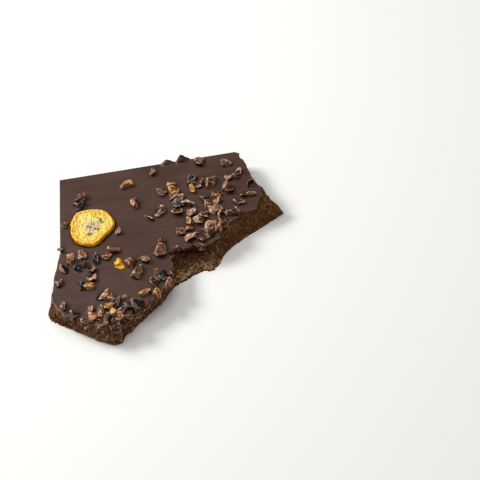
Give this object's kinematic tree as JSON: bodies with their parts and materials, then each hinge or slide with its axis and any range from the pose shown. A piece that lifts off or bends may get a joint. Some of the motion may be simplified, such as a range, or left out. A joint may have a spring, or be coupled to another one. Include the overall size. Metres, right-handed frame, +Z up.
{
  "type": "chocolate bark",
  "caption": "Flat shard of dark chocolate bark, straight where it met the tray and ragged where it was snapped, with cocoa nibs and a candied citrus slice set in its top.",
  "frame": {"origin": "middle of the shard's bounding box, on the surface that it lies on", "axes": "+X along the straight back wall, which met the tray, +Y from the snapped front to that wall, +Z up out of the sprinkled face"},
  "size_m": [0.1014, 0.087, 0.0122],
  "materials": {
    "dark_chocolate": "satin top, rough crumbly breaks",
    "candied_fruit": "sugary, slightly glossy"
  },
  "bodies": {
    "root": {"chocolate_shard": "dark_chocolate", "candied_slice": "candied_fruit"}
  },
  "joints": []
}
